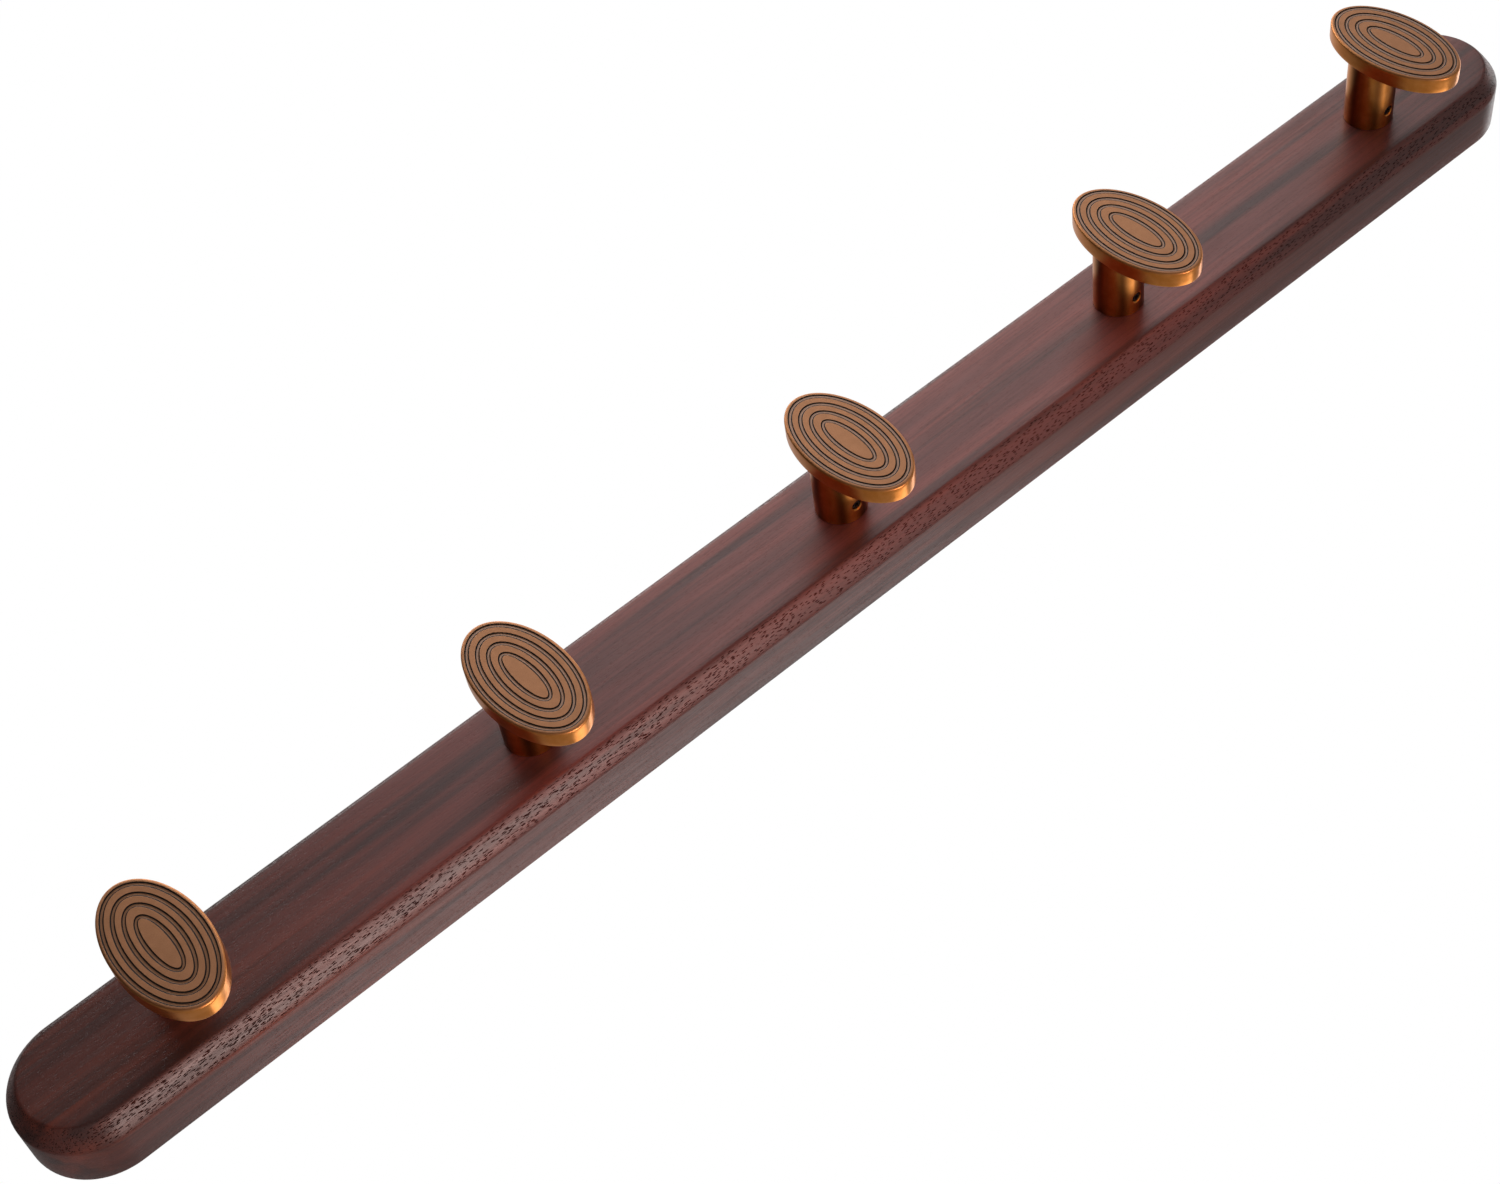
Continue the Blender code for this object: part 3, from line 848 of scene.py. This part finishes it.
def keyhole(x):
    """(x, z) points of the plate's hole: a round mouth below and a narrower slot above it."""
    meet = math.degrees(math.acos(SLOT_RADIUS / KEYHOLE_RADIUS))
    slot = arc(x, SLOT_TOP, SLOT_RADIUS, 0, 180, 16)
    return slot + arc(x, KEYHOLE_CENTRE, KEYHOLE_RADIUS, 180 - meet, 360 + meet, 40)


def hanger_sizes(side):
    """A plate's middle x, half width, half height, lowest y and highest y."""
    low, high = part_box(f"hanger_{side}")
    return (low.x + high.x) / 2, (high.x - low.x) / 2, (high.z - low.z) / 2, low.y, high.y


def hanger_screw_places(side):
    """(end, x, head's y, z, head's radius, length) of the two screws of a hanger."""
    for end in ("top", "bottom"):
        low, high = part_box(f"hanger_screw_{side}_{end}")
        centre = (low + high) / 2
        yield end, centre.x, high.y, centre.z, (high.x - low.x) / 2, high.y - low.y


def hanger_plate(side):
    """The flat plate with its keyhole, before its screw holes are cut."""
    x, half_width, half_height, low, high = hanger_sizes(side)
    curve = bpy.data.curves.new("plate", "CURVE")
    curve.dimensions = "2D"
    curve.fill_mode = "BOTH"
    curve.extrude = (high - low) / 2 - PLATE_EDGE
    curve.bevel_depth = PLATE_EDGE
    curve.bevel_resolution = 2
    curve.offset = -PLATE_EDGE
    outlines = (rounded_rectangle(x, half_width, half_height, PLATE_CORNER), keyhole(x))
    for outline in outlines:
        spline = curve.splines.new("POLY")
        spline.points.add(len(outline) - 1)
        for point, (px, pz) in zip(spline.points, outline):
            point.co = (px, pz, 0.0, 1.0)
        spline.use_cyclic_u = True
    holder = bpy.data.objects.new("plate", curve)
    bpy.context.scene.collection.objects.link(holder)
    graph = bpy.context.evaluated_depsgraph_get()
    mesh = bpy.data.meshes.new_from_object(holder.evaluated_get(graph))
    bpy.data.objects.remove(holder)
    body = bmesh.new()
    body.from_mesh(mesh)
    bmesh.ops.remove_doubles(body, verts=body.verts[:], dist=1e-6)
    mesh = plain(body, "plate")
    mesh.transform(Matrix.Rotation(math.pi / 2, 4, "X"))
    return shifted_to(mesh, 0.0, (low + high) / 2, 0.0)


def countersink(head):
    """What is cut out of a plate for a screw whose head's radius is given."""
    narrow = head / 2 + ROOM
    wide = head + 0.4 * MM
    above, below = 1.0 * MM, -3.0 * MM
    profile = [
        (0.0, above),
        (wide + above, above),
        (narrow, narrow - wide),
        (narrow, below),
        (0.0, below),
    ]
    return plain(turned(profile, 40))


def make_hanger(side):
    cutters = []
    for end, x, y, z, head, length in hanger_screw_places(side):
        cutters.append(shifted_to(countersink(head), x, y, z))
        screw = wood_screw("plate_screw", head, head * 0.48, length)
        screw.transform(Matrix.Rotation(math.pi, 4, "Z"))
        shifted_to(screw, x, y, z)
        name = f"plate_screw_{side}_{end}"
        screw.name = name
        add_piece(name, screw, "wall_side", "zinc_steel", f"hanger_screw_{side}_{end}")
    name = f"keyhole_plate_{side}"
    plate = carved(hanger_plate(side), cutters)
    plate.name = name
    add_piece(name, plate, "wall_side", "zinc_steel", f"hanger_{side}")


def pilot_hole(x, z, radius):
    """(x, z) points of a round hole. The last point stops one step short of the first."""
    return arc(x, z, radius, 0, 345, 23)


def rail_cutters():
    """What is cut out of the rail: recesses and pockets in the back, and holes for the screws."""
    cutters = []
    for side in ("left", "right"):
        x, half_width, half_height, low, _ = hanger_sizes(side)
        corner = PLATE_CORNER + ROOM
        recess = rounded_rectangle(x, half_width + ROOM, half_height + ROOM, corner)
        cutters.append(prism(recess, low - ROOM, 1.0 * MM))
        pocket = arc(x, POCKET_RADIUS, POCKET_RADIUS, 0, 180, 24)
        pocket += arc(x, -POCKET_RADIUS, POCKET_RADIUS, 180, 360, 24)
        cutters.append(prism(pocket, -POCKET_DEPTH, -1.0 * MM))
        for _, screw_x, y, z, head, length in hanger_screw_places(side):
            hole = pilot_hole(screw_x, z, head / 2 + ROOM)
            cutters.append(prism(hole, y - length - ROOM, -1.2 * MM))
    for i in HOOK_NUMBERS:
        hole = pilot_hole(HOOK_X[i], 0.0, STUD_SCREW_RADIUS / 2 + ROOM)
        cutters.append(prism(hole, RAIL_FRONT - 1.0 * MM, STUD_SCREW_HIGH.y + ROOM))
    return cutters


# ---------------------------------------------------------------- studio and camera
CAMERA_PLACE = Vector((-0.3021, -0.6050, -0.4063))
CAMERA_AIM = Vector((-0.0431, -0.0220, -0.0060))
CAMERA_ROLL = -49.94  # degrees round the line of sight
CAMERA_LENS = 58.96
SENSOR_WIDTH = 36.0
FLOOR_HEIGHT = -1.6
FLOOR_HALF_SIZE = 12.0
FLOOR_GREY = (0.80, 0.80, 0.79)
WHITE = (1.0, 1.0, 1.0)
WARM = (1.0, 0.76, 0.70)


def turned_to(place, aim):
    """The rotation of a camera or light at place that points at aim."""
    return (aim - place).to_track_quat("-Z", "Y")


def make_camera():
    camera = bpy.data.cameras.new("camera")
    camera.lens = CAMERA_LENS
    camera.sensor_width = SENSOR_WIDTH
    camera.clip_start = 0.01
    holder = bpy.data.objects.new("camera", camera)
    holder.location = CAMERA_PLACE
    roll = Matrix.Rotation(math.radians(CAMERA_ROLL), 3, "Z")
    aimed = turned_to(CAMERA_PLACE, CAMERA_AIM).to_matrix() @ roll
    holder.rotation_euler = aimed.to_euler()
    bpy.context.scene.collection.objects.link(holder)
    bpy.context.scene.camera = holder


def make_softbox(name, place, aim, width, height, power, spread=180.0, colour=WHITE):
    """A rectangular light, with its spread in degrees, that the camera can't see."""
    light = bpy.data.lights.new(name, "AREA")
    light.shape = "RECTANGLE"
    light.size = width
    light.size_y = height
    light.energy = power
    light.color = colour
    light.spread = math.radians(spread)
    holder = bpy.data.objects.new(name, light)
    holder.location = place
    holder.rotation_euler = turned_to(Vector(place), Vector(aim)).to_euler()
    holder.visible_camera = False
    bpy.context.scene.collection.objects.link(holder)


def make_floor():
    """A pale floor. It shines a little, to the camera only, so that it isn't grey in the picture."""
    body = bmesh.new()
    bmesh.ops.create_grid(body, x_segments=1, y_segments=1, size=FLOOR_HALF_SIZE)
    mesh = bpy.data.meshes.new("floor")
    body.to_mesh(mesh)
    body.free()
    floor = bpy.data.objects.new("floor", mesh)
    floor.location = (0.0, 0.0, FLOOR_HEIGHT)
    bpy.context.scene.collection.objects.link(floor)
    m = Material("pale_floor")
    cloud = m.noise(m.stretched((1.5, 1.5, 1.5)), 3.0)
    m.set("Base Color", m.mix(cloud, FLOOR_GREY, (0.86, 0.86, 0.85)))
    m.set("Roughness", 0.6)
    seen = m.node("ShaderNodeLightPath").outputs["Is Camera Ray"]
    m.set("Emission Color", (*FLOOR_GREY, 1.0))
    m.set("Emission Strength", m.maths("MULTIPLY", seen, 0.5))
    mesh.materials.append(m.data)


def world_ramp(tree, value, reach, strengths, smooth=False):
    """How strongly the world shines between two values of one axis of the direction."""
    ramp = tree.nodes.new("ShaderNodeMapRange")
    ramp.interpolation_type = "SMOOTHSTEP" if smooth else "LINEAR"
    names = ("From Min", "From Max", "To Min", "To Max")
    for name, limit in zip(names, (*reach, *strengths)):
        ramp.inputs[name].default_value = limit
    tree.links.new(value, ramp.inputs["Value"])
    return ramp.outputs["Result"]


def make_world():
    """White to the camera. To everything else it is brighter behind, below and to the right."""
    world = bpy.data.worlds.new("studio")
    world.use_nodes = True
    tree = world.node_tree
    tree.nodes.clear()
    output = tree.nodes.new("ShaderNodeOutputWorld")
    seen, lit = (tree.nodes.new("ShaderNodeBackground") for _ in range(2))
    for background in (seen, lit):
        background.inputs["Color"].default_value = (1.0, 1.0, 1.0, 1.0)
    direction = tree.nodes.new("ShaderNodeTexCoord")
    axes = tree.nodes.new("ShaderNodeSeparateXYZ")
    tree.links.new(direction.outputs["Generated"], axes.inputs[0])
    strength = world_ramp(tree, axes.outputs["Y"], (-0.5, 0.5), (0.25, 2.0), True)
    upward = world_ramp(tree, axes.outputs["Z"], (-0.2, 0.4), (1.0, 0.35))
    rightward = world_ramp(tree, axes.outputs["X"], (-0.6, 0.7), (0.12, 1.35))
    for share in (upward, rightward):
        both = tree.nodes.new("ShaderNodeMath")
        both.operation = "MULTIPLY"
        tree.links.new(strength, both.inputs[0])
        tree.links.new(share, both.inputs[1])
        strength = both.outputs[0]
    tree.links.new(strength, lit.inputs["Strength"])
    path = tree.nodes.new("ShaderNodeLightPath")
    either = tree.nodes.new("ShaderNodeMixShader")
    tree.links.new(path.outputs["Is Camera Ray"], either.inputs[0])
    tree.links.new(lit.outputs[0], either.inputs[1])
    tree.links.new(seen.outputs[0], either.inputs[2])
    tree.links.new(either.outputs[0], output.inputs["Surface"])
    bpy.context.scene.world = world


def make_studio():
    bpy.context.scene.view_settings.view_transform = "Standard"
    make_world()
    make_floor()
    make_camera()
    make_softbox("key", (0.80, -0.90, 1.05), (0.1, 0.0, 0.0), 1.5, 1.1, 11.2)
    make_softbox("top_strip", (0.2, -0.40, 1.15), (0.1, 0.0, 0.0), 1.0, 0.25, 6.0)
    make_softbox("low_fill", (-0.08, -0.30, -1.0), (-0.155, 0.0, 0.0), 0.7, 0.5, 0.80, 50.0, WARM)
    make_softbox("back_fill", (0.22, 1.04, -0.70), (-0.12, 0.0, 0.0), 0.8, 0.6, 0.6, 90.0)


make_studio()
make_rail()
make_knobs()
for side in ("left", "right"):
    make_hanger(side)
for name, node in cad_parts.items():
    slot = next(MATERIALS[kind] for stem, kind in SLOTS if name.startswith(stem))
    node.data.materials.clear()
    node.data.materials.append(slot)
